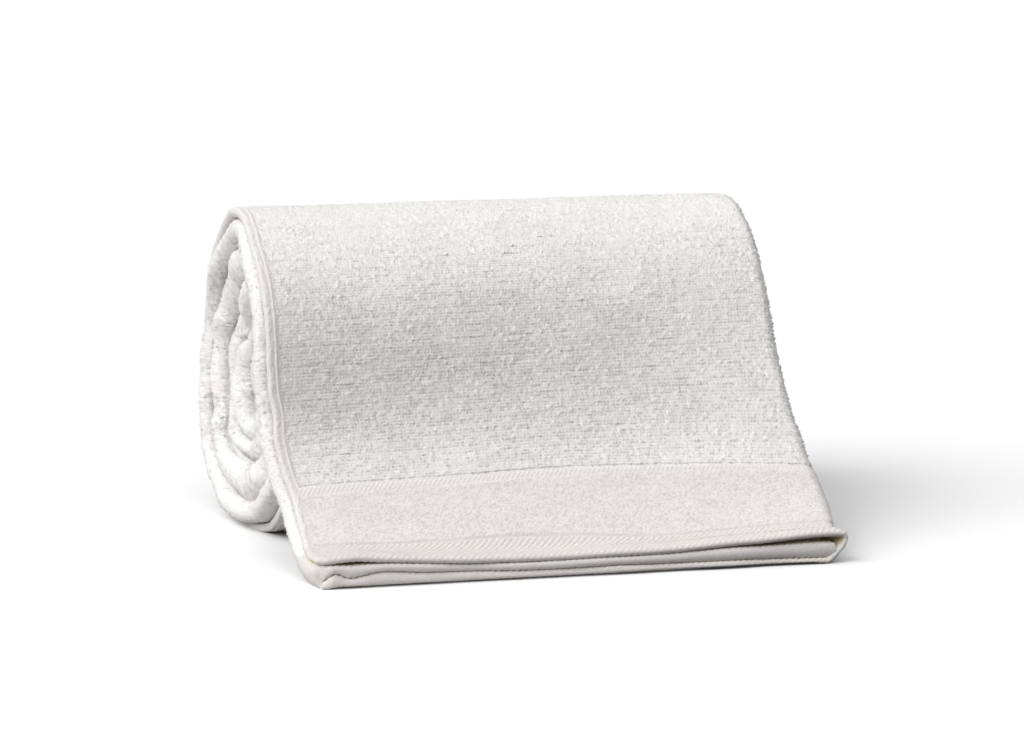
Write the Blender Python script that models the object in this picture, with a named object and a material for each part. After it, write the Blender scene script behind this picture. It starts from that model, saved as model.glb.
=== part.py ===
"""A bath towel folded in thirds along its length, then rolled, with its loose end let down in front.

The towel is one cloth. Its section across the strip is a letter fold: a bottom layer, a middle layer
that is turned in at the left fold, and a top layer that is turned over at the right fold. That
section is carried along the strip, which starts in the core of the roll, winds outwards, passes over
the top of the roll and runs down the front to the hem on the surface. X is the axis of the roll, -Y
the side with the loose end, and the surface is z = 0. Sizes are in millimetres.
"""

import bpy
import numpy as np

MM = 0.001

# Cloth
LAYER = 4.2  # one layer of terry with its loops
HEM_LAYER = 3.0  # one layer in the hem band, which has no loops
AIR = 0.4  # between two layers of the fold
HEM_BAND = 15.0  # from the end of the strip to where the loops begin

# Letter fold
MIDDLE_IN = 9.5  # free edge of the middle layer, in from the right fold
TOP_IN = 6.0  # free edge of the top layer, in from the left fold
FOLD_TURNS = np.radians(np.linspace(0.0, 180.0, 5))  # points round each fold
ACROSS = (-0.45, 0.45)  # points on each layer between its folds, as shares of the half width

# Roll
CORE_Y = 10.0
CORE_Z = 69.8
TURNS = 4.5  # from the inner end to the last pass over the top
TOP_RADIUS = 65.6  # underside of the strip at that pass
PITCH = 14.4
NARROW = 0.95  # width of the roll for its height
SAG = 1.2  # how far each turn further in hangs lower
LEAN = 0.07  # how far the back of the roll sinks for each unit of depth, and the front rises
FULL = 2.5  # the lower half is a superellipse of this power, fuller than a circle, where the roll sags
SQUEEZE = 0.06  # share by which the layers are pressed under the core, and loose over it
STEPS = 24  # stations in a turn
LEAVES = 0.125  # turns past the top where the loose end leaves the round

# Both ends of the roll: the strip shifts to and fro as it winds. Turns are counted from the last pass
# over the top, so that the inner ones are negative, and the loose end runs from 0 to about 0.6.
EDGES = (
    # turn, left fold, right fold
    (-4.50, -108.0, 108.0),
    (-4.00, -113.0, 113.0),
    (-3.50, -117.0, 111.0),
    (-3.00, -113.0, 116.0),
    (-2.50, -118.5, 113.0),
    (-2.00, -114.0, 117.0),
    (-1.50, -120.5, 115.0),
    (-1.00, -115.5, 119.0),
    (-0.75, -115.0, 118.0),
    (-0.45, -126.5, 117.0),
    (-0.20, -121.5, 117.5),
    (0.00, -122.5, 120.5),
    (0.10, -126.0, 118.5),
    (0.20, -129.5, 117.5),
    (0.30, -127.5, 118.0),
    (0.38, -124.5, 119.0),
    (0.48, -122.5, 120.0),
    (0.60, -121.5, 119.0),
)

# Underside of the loose end after it leaves the round, along its left and its right fold.
LOOSE_END = (
    # left y, left z, right y, right z
    (-45.6, 110.0, -47.0, 109.5),
    (-52.8, 94.0, -58.0, 94.0),
    (-56.5, 78.0, -68.5, 77.0),
    (-60.5, 61.5, -79.5, 60.0),
    (-66.5, 45.5, -90.5, 44.5),
    (-75.5, 31.0, -102.0, 30.5),
    (-87.5, 17.5, -114.0, 18.0),
    (-100.5, 6.0, -126.5, 7.0),
    (-113.0, 0.0, -138.0, 0.0),
    (-122.0, 0.0, -145.0, 0.0),
    (-128.0, 0.0, -150.0, 0.0),
)
TURN_STEP = 0.04  # share of a turn between two rows of the loose end, for the table of edges

# Gaps between the layers at the hem, where they part, and how far from the hem they start to part
GAPE_LEFT = 1.6
GAPE_RIGHT = 2.6
GAPE_LENGTH = 60.0

WHITE = (0.80, 0.78, 0.76)
ROUGHNESS = 0.95


def roll_line(turn):
    """Underside of the strip in the roll: a spiral that sags, whose inner turns hang a little lower."""
    angle = 2.0 * np.pi * (turn + 0.25)
    power = np.where(np.sin(angle) < 0.0, FULL, 2.0)
    fuller = (np.abs(np.cos(angle)) ** power + np.abs(np.sin(angle)) ** power) ** (-1.0 / power)
    radius = (TOP_RADIUS + PITCH * turn) * fuller
    y = CORE_Y + NARROW * radius * np.cos(angle)
    z = CORE_Z + SAG * turn + radius * np.sin(angle) - LEAN * (y - CORE_Y)
    return np.stack([y, z], axis=1)


def stations():
    """Turn, left line, right line and squeeze of the strip at each station, from the core to the hem."""
    turn = np.arange(round(-TURNS * STEPS), LEAVES * STEPS + 1) / STEPS
    turn = turn[:-1] + 0.5 / STEPS
    roll = roll_line(turn)
    loose = np.array(LOOSE_END)
    left = np.concatenate([roll, loose[:, 0:2]])
    right = np.concatenate([roll, loose[:, 2:4]])
    press = 1.0 + SQUEEZE * np.sin(2.0 * np.pi * (turn + 0.25))
    fade = np.interp(np.arange(len(loose)), (0.0, 4.0), (press[-1], 1.0))
    later = turn[-1] + TURN_STEP * np.arange(1, len(loose) + 1)
    return np.concatenate([turn, later]), left, right, np.concatenate([press, fade])


def normals(line):
    """Unit normals of a line in the YZ plane, on the side that faces away from the core."""
    along = np.gradient(line, axis=0)
    across = np.stack([along[:, 1], -along[:, 0]], axis=1)
    return across / np.linalg.norm(across, axis=1, keepdims=True)


def length_along(line):
    """Length of the line up to each of its points."""
    return np.concatenate([[0.0], np.cumsum(np.linalg.norm(np.diff(line, axis=0), axis=1))])


def fold_section(left, right, layer, air_left, air_right):
    """Outline of the letter fold: x and height above the underside, at each station and point.

    The cloth is followed from the free edge of the middle layer, round the left fold, along the
    bottom, round the right fold and along the top to its free edge. Each point of that way gives
    one outline point on either side of the cloth, so the outline is the first side followed by the
    second side backwards.
    """
    middle_x = 0.5 * (left + right)
    half = 0.5 * (right - left)

    def air(share):
        side = np.where(share < 0.0, air_left, air_right)
        return AIR + (side - AIR) * share * share

    def flat(x, share, level, up):
        height = (level + 0.5) * layer + level * air(share)
        return [(x, height + 0.5 * up * layer), (x, height - 0.5 * up * layer)]

    def round_fold(centre_x, centre_height, outer, inner, start):
        angles = start + FOLD_TURNS
        return [
            [(centre_x + reach * np.cos(a), centre_height + reach * np.sin(a)) for reach in (outer, inner)]
            for a in angles
        ]

    left_outer = layer + 0.5 * air_left
    right_outer = 1.5 * layer + air_right
    way = [flat(right - MIDDLE_IN, 1.0, 1, 1.0)]
    way += [flat(middle_x + share * half, share, 1, 1.0) for share in reversed(ACROSS)]
    way += round_fold(left + left_outer, left_outer, left_outer, 0.5 * air_left, 0.5 * np.pi)
    way += [flat(middle_x + share * half, share, 0, -1.0) for share in ACROSS]
    way += round_fold(right - right_outer, right_outer, right_outer, right_outer - layer, -0.5 * np.pi)
    way += [flat(middle_x + share * half, share, 2, 1.0) for share in reversed(ACROSS)]
    way += [flat(left + TOP_IN, -1.0, 2, 1.0)]
    outline = [pair[0] for pair in way] + [pair[1] for pair in reversed(way)]
    x = np.stack([point[0] for point in outline], axis=1)
    height = np.stack([point[1] for point in outline], axis=1)
    return x, height


def towel_points():
    """Points of the towel, one row of outline points for each station, with the box's middle at x = y = 0."""
    turn, left_line, right_line, press = stations()
    edges = np.array(EDGES)
    left = np.interp(turn, edges[:, 0], edges[:, 1])
    right = np.interp(turn, edges[:, 0], edges[:, 2])
    length = length_along(0.5 * (left_line + right_line))
    to_end = np.minimum(length, length[-1] - length)
    layer = np.interp(to_end, (0.5 * HEM_BAND, HEM_BAND), (HEM_LAYER, LAYER))
    parted = np.clip(1.0 - (length[-1] - length) / GAPE_LENGTH, 0.0, 1.0) ** 2
    air_left = AIR + (GAPE_LEFT - AIR) * parted
    air_right = AIR + (GAPE_RIGHT - AIR) * parted

    x, height = fold_section(left, right, layer, air_left, air_right)
    share = ((x - left[:, None]) / (right - left)[:, None])[:, :, None]
    line = left_line[:, None, :] * (1.0 - share) + right_line[:, None, :] * share
    normal = normals(left_line)[:, None, :] * (1.0 - share) + normals(right_line)[:, None, :] * share
    normal /= np.linalg.norm(normal, axis=2, keepdims=True)
    flat = line + normal * (height * press[:, None])[:, :, None]
    points = np.concatenate([x[:, :, None], flat], axis=2)
    points[:, :, 2] = np.maximum(points[:, :, 2], 0.0)
    middle = 0.5 * (points.min(axis=(0, 1)) + points.max(axis=(0, 1)))
    return points - (middle[0], middle[1], 0.0)


def loft_faces(rows, ring):
    """Faces of a closed ring carried through all rows, with each end shut across the cloth's thickness."""
    faces = []
    for row in range(rows - 1):
        for i in range(ring):
            j = (i + 1) % ring
            faces.append((row * ring + j, (row + 1) * ring + j, (row + 1) * ring + i, row * ring + i))
    last = (rows - 1) * ring
    for i in range(ring // 2 - 1):
        a, b, c, d = i, i + 1, ring - 2 - i, ring - 1 - i
        faces.append((d, c, b, a))
        faces.append((last + a, last + b, last + c, last + d))
    return faces


def cloth_material():
    """Plain warm white cotton."""
    material = bpy.data.materials.new("white_terry")
    material.use_nodes = True
    shader = material.node_tree.nodes["Principled BSDF"]
    shader.inputs["Base Color"].default_value = (*WHITE, 1.0)
    shader.inputs["Roughness"].default_value = ROUGHNESS
    shader.inputs["Metallic"].default_value = 0.0
    return material


def make_towel():
    """The towel, as one closed mesh."""
    points = towel_points()
    rows, ring = points.shape[:2]
    mesh = bpy.data.meshes.new("towel")
    mesh.from_pydata((points.reshape(-1, 3) * MM).tolist(), [], loft_faces(rows, ring))
    mesh.materials.append(cloth_material())
    mesh.polygons.foreach_set("use_smooth", np.ones(len(mesh.polygons), dtype=bool))
    mesh.update()
    towel = bpy.data.objects.new("towel", mesh)
    bpy.context.scene.collection.objects.link(towel)
    return towel


for old in list(bpy.data.objects):
    bpy.data.objects.remove(old, do_unlink=True)
make_towel()
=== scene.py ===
"""A rolled bath towel: one terry cloth folded in thirds, rolled up, its loose end let down in front.

The cloth is followed as a strip. Its folded section is carried along one line, from the core of the
roll to the hem on the surface. Every piece is a sheet laid on that strip, given by how far along the
strip and how far across the cloth it lies, and how high it stands. Lengths are in millimetres until
a mesh is written. X is the axis of the roll, -Y the side with the loose end, z = 0 the surface.
"""

import bpy
import numpy as np
from mathutils import Matrix


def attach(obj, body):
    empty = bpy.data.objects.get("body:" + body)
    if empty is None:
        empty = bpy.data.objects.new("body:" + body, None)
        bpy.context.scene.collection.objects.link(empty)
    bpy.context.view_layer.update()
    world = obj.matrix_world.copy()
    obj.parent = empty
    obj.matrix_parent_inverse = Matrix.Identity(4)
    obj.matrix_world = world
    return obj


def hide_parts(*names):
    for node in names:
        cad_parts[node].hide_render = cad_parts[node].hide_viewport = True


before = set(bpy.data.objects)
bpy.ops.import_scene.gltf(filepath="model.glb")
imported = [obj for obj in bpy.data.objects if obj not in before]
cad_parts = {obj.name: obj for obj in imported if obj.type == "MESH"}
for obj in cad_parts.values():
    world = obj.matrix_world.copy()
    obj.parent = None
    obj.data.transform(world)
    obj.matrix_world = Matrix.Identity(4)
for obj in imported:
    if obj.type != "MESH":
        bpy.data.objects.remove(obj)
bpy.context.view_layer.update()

MM = 0.001

# Camera: where it looks from, its lens, and how far the picture's middle is from the towel's
AZIMUTH = np.radians(-18.72)
ELEVATION = np.radians(8.42)
DISTANCE = 1285.1
LENS = 98.44
AIM = (0.0, 0.0, 75.0)
ASIDE = 4.2
ABOVE = 0.9

# Light: how strong the surroundings are at the horizon and overhead, and as the camera sees them
SKY = (0.25, 0.47)
SKY_SEEN = 1.1
LIGHTS = (
    # name, strength, softness in degrees, direction that it comes from
    ("light_left", 1.75, 50.0, (-0.75, -0.13, 0.65)),
    ("light_front", 1.12, 60.0, (-0.30, -0.55, 0.78)),
)

# Floor: share of the light that it throws back in front of the towel and elsewhere, where the front
# part ends, half the width of the blend there, and half the floor's side in metres
FLOOR_BACK = (0.12, 0.62)
FLOOR_FRONT = -108.0
FLOOR_BLEND = 2.0
FLOOR_SIDE = 60.0

# The strip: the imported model's, with its ends and its free edges placed a little more finely
LAYER = 4.2  # one layer of terry with its loops
HEM_LAYER = 3.0  # one layer in the hem
AIR = 0.4  # between two layers of the fold
HEM_BAND = 15.0  # from the end of the strip to where a layer has its full thickness
MIDDLE_IN = 9.0  # free edge of the middle layer, in from the right fold
CORE_Y = 10.0
CORE_Z = 69.8
TURNS = 4.5  # from the inner end to the last pass over the top
TOP_RADIUS = 65.6  # underside of the strip at that pass
PITCH = 14.4
NARROW = 0.95  # width of the roll for its height
SAG = 1.2  # how far each turn further in hangs lower
LEAN = 0.07  # how far the back of the roll sinks for each unit of depth, and the front rises
FULL = 2.5  # power of the superellipse that makes the lower half fuller than a circle
SQUEEZE = 0.06  # share by which the layers are pressed under the core, and loose over it
SQUEEZE_ENDS = 4.0  # rows of the loose end over which that fades out
STEPS = 24  # stations in a turn
LEAVES = 0.125  # turns past the top where the loose end leaves the round
OUTER_TURN = -0.86  # where the outermost turn comes out from under the loose end

# Both ends of the roll: the strip shifts to and fro as it winds. Turns are counted from the last pass
# over the top, so that the inner ones are negative, and the loose end runs from 0 to about 0.6.
EDGES = (
    # turn, left fold, right fold, top layer's free edge in from the left fold
    (-4.50, -112.0, 108.0, 5.0),
    (-4.00, -114.0, 113.0, 3.0),
    (-3.50, -117.0, 111.0, 4.0),
    (-3.00, -114.5, 116.0, 2.5),
    (-2.50, -118.5, 113.0, 3.5),
    (-2.00, -115.5, 117.0, 2.0),
    (-1.50, -120.5, 115.0, 3.0),
    (-1.00, -118.5, 119.0, 7.0),
    (-0.75, -116.0, 118.0, 8.0),
    (-0.45, -123.5, 117.0, 8.5),
    (-0.20, -123.5, 121.5, 7.0),
    (0.00, -122.5, 125.0, 1.0),
    (0.10, -126.0, 121.5, 3.5),
    (0.20, -129.5, 116.5, 5.0),
    (0.30, -127.5, 118.0, 5.0),
    (0.38, -124.5, 119.0, 4.3),
    (0.48, -122.5, 120.0, 3.2),
    (0.60, -121.5, 121.0, 2.0),
)

# Underside of the loose end after it leaves the round, along its left and its right fold
LOOSE_END = (
    # left y, left z, right y, right z
    (-45.6, 110.0, -47.0, 109.5),
    (-52.8, 94.0, -58.0, 94.0),
    (-56.5, 78.0, -68.5, 77.0),
    (-60.5, 61.5, -79.5, 60.0),
    (-66.5, 45.5, -90.5, 44.5),
    (-75.5, 31.0, -102.0, 30.5),
    (-87.5, 17.5, -114.0, 18.0),
    (-100.5, 6.0, -126.5, 7.0),
    (-113.0, 0.0, -138.0, 0.0),
    (-122.0, 0.0, -145.0, 0.0),
    (-128.0, 0.0, -150.0, 0.0),
)
TURN_STEP = 0.04  # share of a turn between two rows of the loose end, for the table of edges
GAPE_LEFT = 1.6  # gaps between the layers at the hem, where they part
GAPE_RIGHT = 2.6
GAPE_LENGTH = 60.0  # how far from the hem they start to part
BOX_MIDDLE = (-4.41, -33.94)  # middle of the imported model's box, in the strip's own x and y
TABLE_STEP = 0.25  # spacing of the strip's table
NOISE_SIDE = 128  # cells of the noise before it repeats

# Finishes of the cloth
# The finishes mix from their painted shade where the cloth lies low to their tips where it stands high.
# The ochre shade of the hem and the ground colours the shaded gaps between the layers, and the hem's tips are
# darker than the bands', painted shade for its shaded front edge.
FINISHES = (
    # name, tips, painted shade in the depths, strength of the bump, scale of the yarn, yarn grain and painted
    # shade
    ("terry_loops", (0.97, 0.945, 0.92), (0.75, 0.72, 0.67), 0.5, 1900.0, 0.30),
    ("woven_bands", (0.845, 0.815, 0.80), (0.64, 0.61, 0.58), 0.5, 2400.0, 0.60),
    ("turned_hem", (0.745, 0.72, 0.70), (0.90, 0.79, 0.50), 0.5, 2400.0, 0.50),
    ("woven_ground", (0.86, 0.85, 0.85), (0.86, 0.77, 0.55), 1.0, 1100.0, 0.20),
)

# Pile: spacing of the loops along the strip and across the cloth, and how they stand
LOOP_ROW = 1.42
LOOP_COLUMN = 1.5
LOOP_DEPTH = 1.15  # from the cloth's face down to the foot of the loops
LOOP_HEIGHT = 1.15
GROUND_IN = 1.0  # how far the woven ground lies under the face
OVERHANG = 0.3  # how far the last loops lean over the groove of the first band
OVERHANG_FROM = 2.2  # how far from the end of the loops that begins
JOINED = (0.10, 0.14)  # chance that two tops are joined, and how much more where the pile is matted
JOINED_LOFT = (0.75, 0.22)  # height of the point between two tops, joined and not
FILLED = (0.03, 0.06)  # the same for the valleys between two rows of tops
FILLED_LOFT = (0.55, 0.05)
VARIES = (0.36, 0.15, 0.12)  # by how much tops, points between tops and valleys differ by chance
LEAN_TOGETHER = 0.10  # how far the tops of a patch lean together
LEAN_ALONE = (0.32, 0.30)  # how far each one leans by itself, along and across
STRAY = 1.35  # how many times as far it leans on the folds, where the loops stand less high and take more painted light

# Painted shade in the middle of the loose end: its place across, as a share of the top layer from
# the right fold, and its distance from the hem, then its reach across and along
PAINTED_SHADE_AT = (0.42, 135.0)
PAINTED_SHADE_REACH = (75.0, 72.0)
PAINTED_LIGHT_AWAY = 0.21  # how much painted light the pile gets away from it
TONE_VARIES = 0.14  # how much the tone of each point differs by chance

# Bands at the end of the towel, as distances from the hem's edge
BANDS = (
    # x, where the loops end, where the hem is sewn down
    (-130.0, 59.0, 24.0),
    (-91.0, 61.0, 24.0),
    (-48.0, 62.5, 26.0),
    (0.0, 64.5, 25.5),
    (36.0, 64.0, 22.3),
    (72.0, 63.0, 23.5),
    (104.0, 61.0, 24.0),
    (130.0, 59.0, 24.5),
)
PILE_ENDS = 62.0
BEND_REACH = 70.0  # length over which the rows of loops take up the bend of their last row
GROOVE = (1.0, 1.5)  # width and depth of the groove under the last loops
TWILL = (7.0, 4.0)  # width of the first band at its left and right end
TWILL_RELIEF = (0.40, 0.17)  # height of the first band, and of its ribs
VELOUR_RELIEF = (0.62, 0.22, 0.16)  # height of the wide band, of its lumps and of its grain
WEAVE_STEP = 0.6  # spacing of the points of the bands
RIB_TWILL = 2.1  # spacing of the slanting ribs
RIB_HEM = 2.7
RIB_SLANT = 0.75

# Hem: its seam, how far it goes back inside, and the rounding and the sizes of its front edge
HEM_SEAM = 24.5
SEAM_SUNK = 0.85  # how deep the seam is drawn in
BORDER_SUNK = 0.55  # how deep the sheet of the bands lies under it
HEM_RELIEF = (0.17, 0.10)  # height of the hem's ribs, and of its grain
HEM_SWELLS = 0.22  # how far the outer side swells between seam and edge
HEM_INSIDE = 6.0
HEM_STEP = 0.57  # spacing of its points on the way round the edge
HEM_HALF = 1.6  # half the thickness that the edge goes round
EDGE_ROUND = 1.8  # how far back the front edge is rounded
HEM_DRAWN = 1.0  # how far the folds are drawn in at the hem
HEM_SLANT = 1.5  # how much further their lower halves are
HEM_LIFT = 1.2  # how far the bottom layer's front edge stands off the surface
HEM_UNDER = 6.0  # how far the right fold's lower half lies under the upper one
HEM_CORNER = (3.0, 8.0)  # how far the edge is rounded back at the left corner, and over what width
HEM_LIES = (8.0, 40.0)  # from the front edge, where the layers lie as in the table, and where no longer
HEM_TOP = 3.0  # thickness of the top layer there
HEM_AIR = 0.2  # between the bottom layer and the middle one there
HEM_STACK = (
    # x, top of the bottom layer, top of the middle layer, underside of the top layer
    (-124.0, 2.4, 10.3, 10.4),
    (-117.0, 2.6, 10.3, 10.5),
    (-112.0, 6.4, 10.2, 10.8),
    (-107.0, 4.9, 9.9, 11.2),
    (-100.0, 4.9, 9.8, 11.3),
    (-92.0, 6.4, 10.0, 10.6),
    (-81.0, 6.0, 9.7, 9.9),
    (-59.0, 4.9, 8.4, 8.6),
    (-37.0, 4.2, 7.6, 7.8),
    (-10.0, 3.9, 7.5, 7.6),
    (12.0, 4.0, 7.8, 7.9),
    (36.0, 3.5, 7.9, 8.1),
    (60.0, 3.5, 8.9, 9.6),
    (81.0, 3.2, 9.1, 10.7),
    (102.0, 2.7, 9.4, 12.0),
    (119.0, 2.6, 9.0, 11.6),
)
FOLD_IN = 5.0  # where a fold's layers are measured, in from its outermost point

# Double hem along the cloth's side: its width, and how far it goes back inside
SELVEDGE = 3.9
SELVEDGE_INSIDE = 2.0
SELVEDGE_HALF = 1.3  # half the thickness that it goes round
SELVEDGE_OVER = 0.6  # how far the pile and the bands reach over it
WIDE_RIDGE = (0.5, 1.1, 0.22)  # place in from the rounded edge, half width and height
NARROW_RIDGE = (2.7, 0.65, 0.46)
RIDGE_FOOT = 0.40  # how deep the groove between them lies

# Lobes at the left end of the roll
PUFF = 3.4  # how much thicker each layer of the inner turns is there
PUFF_FADES = (-1.15, -0.80)  # turns over which that fades out
PUFF_IN = 5.5  # how far the inner side of every turn swells towards the core
PUFF_IN_FADES = (-0.05, 0.20)
PUFF_REACH = 14.0  # how far the lobes reach in from the left fold
PUFF_SIZE = 21.0  # length of the lobes along the strip

# Both ends of the roll are uneven
END_REACH = 26.0  # how far in from its ends
END_SWELL = (0.9, 2.4)  # how far the folds go in and out of the end, and how much more inside
LUMP = 26.0  # size of the lumps that move the inner turns
LUMP_MOVES = 5.0  # how far they move them
EVEN_FROM = (44.0, 66.0)  # distances from the core over which the outer turns become even

# Margins of the baking map, and the rows in its foot that hold the two ends of a ring
MAP_EDGE = 0.01
MAP_FOOT = 0.004
MAP_ENDS = (0.001, 0.003)


def soft_step(value):
    """Smooth step from 0 to 1: 3 t squared less 2 t cubed, held at either end."""
    t = np.clip(value, 0.0, 1.0)
    return t * t * (3.0 - 2.0 * t)


def ramp(value, start, stop):
    """Smooth step that is 0 up to start and 1 from stop."""
    return soft_step((value - start) / (stop - start))


def cloth_noise(u, v, seed):
    """Smooth noise from -1 to 1: a seeded random value at each whole (u, v), joined by a quintic step."""
    values = np.random.default_rng(seed).uniform(-1.0, 1.0, (NOISE_SIDE, NOISE_SIDE))
    u, v = np.broadcast_arrays(u, v)
    low_u, low_v = np.floor(u).astype(int), np.floor(v).astype(int)
    part_u, part_v = u - low_u, v - low_v
    part_u = part_u**3 * (part_u * (6.0 * part_u - 15.0) + 10.0)
    part_v = part_v**3 * (part_v * (6.0 * part_v - 15.0) + 10.0)

    def value(next_u, next_v):
        return values[(low_u + next_u) % NOISE_SIDE, (low_v + next_v) % NOISE_SIDE]

    near = value(0, 0) * (1.0 - part_v) + value(0, 1) * part_v
    far = value(1, 0) * (1.0 - part_v) + value(1, 1) * part_v
    return near * (1.0 - part_u) + far * part_u


def natural_spline(knots, values, at):
    """Natural cubic spline through rows of values.

    The second slopes at the knots solve the three-term equations of the spline, with none at the
    ends, and each stretch is the cubic between its two knots with those second slopes.
    """
    step = np.diff(knots)
    inner = np.arange(1, len(knots) - 1)
    system = np.eye(len(knots))
    system[inner, inner - 1] = step[:-1]
    system[inner, inner] = 2.0 * (step[:-1] + step[1:])
    system[inner, inner + 1] = step[1:]
    change = np.zeros_like(values)
    change[1:-1] = 6.0 * np.diff(np.diff(values, axis=0) / step[:, None], axis=0)
    second = np.linalg.solve(system, change)
    i = np.clip(np.searchsorted(knots, at, side="right") - 1, 0, len(knots) - 2)
    h = step[i][:, None]
    b = (at - knots[i])[:, None]
    a = h - b
    bend = (second[i] * a**3 + second[i + 1] * b**3) / (6.0 * h)
    from_first = (values[i] / h - second[i] * h / 6.0) * a
    from_next = (values[i + 1] / h - second[i + 1] * h / 6.0) * b
    return bend + from_first + from_next


def roll_line(turn):
    """Underside of the strip in the roll: a spiral that sags, whose inner turns hang a little lower."""
    angle = 2.0 * np.pi * (turn + 0.25)
    power = np.where(np.sin(angle) < 0.0, FULL, 2.0)
    fuller = (np.abs(np.cos(angle)) ** power + np.abs(np.sin(angle)) ** power) ** (-1.0 / power)
    radius = (TOP_RADIUS + PITCH * turn) * fuller
    y = CORE_Y + NARROW * radius * np.cos(angle)
    z = CORE_Z + SAG * turn + radius * np.sin(angle) - LEAN * (y - CORE_Y)
    return np.stack([y, z], axis=1)


def away_from_core(line):
    """Unit normals of a line in the YZ plane, on the side that faces away from the core."""
    along = np.gradient(line, axis=0)
    across = np.stack([along[:, 1], -along[:, 0]], axis=1)
    return across / np.linalg.norm(across, axis=1, keepdims=True)


def strip_table():
    """The strip at even lengths: turn, press, both side lines with their normals, and both ends.

    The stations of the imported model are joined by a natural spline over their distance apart.
    """
    turn = np.arange(round(-TURNS * STEPS), LEAVES * STEPS + 1) / STEPS
    turn = turn[:-1] + 0.5 / STEPS
    roll = roll_line(turn)
    loose = np.array(LOOSE_END)
    left = np.concatenate([roll, loose[:, 0:2]])
    right = np.concatenate([roll, loose[:, 2:4]])
    press = 1.0 + SQUEEZE * np.sin(2.0 * np.pi * (turn + 0.25))
    fade = np.interp(np.arange(len(loose)), (0.0, SQUEEZE_ENDS), (press[-1], 1.0))
    press = np.concatenate([press, fade])
    turn = np.concatenate([turn, turn[-1] + TURN_STEP * np.arange(1, len(loose) + 1)])
    middle = 0.5 * (left + right)
    length = np.concatenate([[0.0], np.cumsum(np.linalg.norm(np.diff(middle, axis=0), axis=1))])
    fine = np.arange(0.0, length[-1], TABLE_STEP)
    known = np.concatenate([turn[:, None], left, right, press[:, None]], axis=1)
    rows = natural_spline(length, known, fine)
    edges = np.array(EDGES)
    ends = natural_spline(edges[:, 0], edges[:, 1:4], rows[:, 0])
    return {
        "length": fine,
        "turn": rows[:, 0],
        "left": rows[:, 1:3],
        "right": rows[:, 3:5],
        "press": rows[:, 5],
        "left normal": away_from_core(rows[:, 1:3]),
        "right normal": away_from_core(rows[:, 3:5]),
        "left x": ends[:, 0],
        "right x": ends[:, 1],
        "top in": ends[:, 2],
    }


STRIP = strip_table()
FULL_LENGTH = float(STRIP["length"][-1])


def strip_at(length):
    """The strip at given lengths from the core, which are one for each row or a whole grid."""
    length = np.asarray(length, dtype=float)
    length = length[:, None] if length.ndim == 1 else length

    def pick(name):
        column = STRIP[name]
        if column.ndim == 1:
            return np.interp(length, STRIP["length"], column)
        return np.stack([np.interp(length, STRIP["length"], part) for part in column.T], axis=-1)

    strip = {name: pick(name) for name in STRIP if name != "length"}
    to_hem = FULL_LENGTH - length
    to_end = np.minimum(length, to_hem)
    parted = np.clip(1.0 - to_hem / GAPE_LENGTH, 0.0, 1.0) ** 2
    strip["length"] = length
    strip["to hem"] = to_hem
    strip["hem"] = 1.0 - ramp(to_hem, *HEM_LIES)
    strip["layer"] = np.interp(to_end, (0.5 * HEM_BAND, HEM_BAND), (HEM_LAYER, LAYER))
    strip["air left"] = AIR + (GAPE_LEFT - AIR) * parted
    strip["air right"] = AIR + (GAPE_RIGHT - AIR) * parted
    swell = 0.5 + 0.5 * cloth_noise(length / PUFF_SIZE, 0.0, 71)
    strip["puff"] = PUFF * swell * (1.0 - ramp(strip["turn"], *PUFF_FADES))
    strip["puff in"] = PUFF_IN * (0.6 + 0.4 * swell) * (1.0 - ramp(strip["turn"], *PUFF_IN_FADES))
    return strip


def layers_at(strip, x):
    """Undersides and tops of the bottom, middle and top layer at x, in pairs.

    Away from the hem each layer is as thick as the cloth, with a little air between, and the air
    grows by the square of the distance from the middle where the layers part. At the left end the
    layers of the inner turns are puffed up, and the underside of every turn is, by a bell curve over
    x. Near the front edge the heights go over to those of the hem's stack by a smooth step.
    """
    middle_x = 0.5 * (strip["left x"] + strip["right x"])
    half = 0.5 * (strip["right x"] - strip["left x"])
    share = (x - middle_x) / half
    side = np.where(share < 0.0, strip["air left"], strip["air right"])
    air = AIR + (side - AIR) * share * share
    bell = np.exp(-(((x - strip["left x"]) / PUFF_REACH) ** 2))
    layer = strip["layer"] + strip["puff"] * bell
    stack = np.array(HEM_STACK)
    near = natural_spline(stack[:, 0], stack[:, 1:4], np.clip(x, stack[0, 0], stack[-1, 0]).reshape(-1))
    bottom, middle, top = (near[:, i].reshape(x.shape) for i in range(3))

    def between(far, near):
        return far + (near - far) * strip["hem"]

    return (
        (-strip["puff in"] * bell, between(layer, bottom)),
        (between(layer + air, bottom + HEM_AIR), between(2.0 * layer + air, middle)),
        (between(2.0 * (layer + air), top), between(3.0 * layer + 2.0 * air, top + HEM_TOP)),
    )


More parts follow.
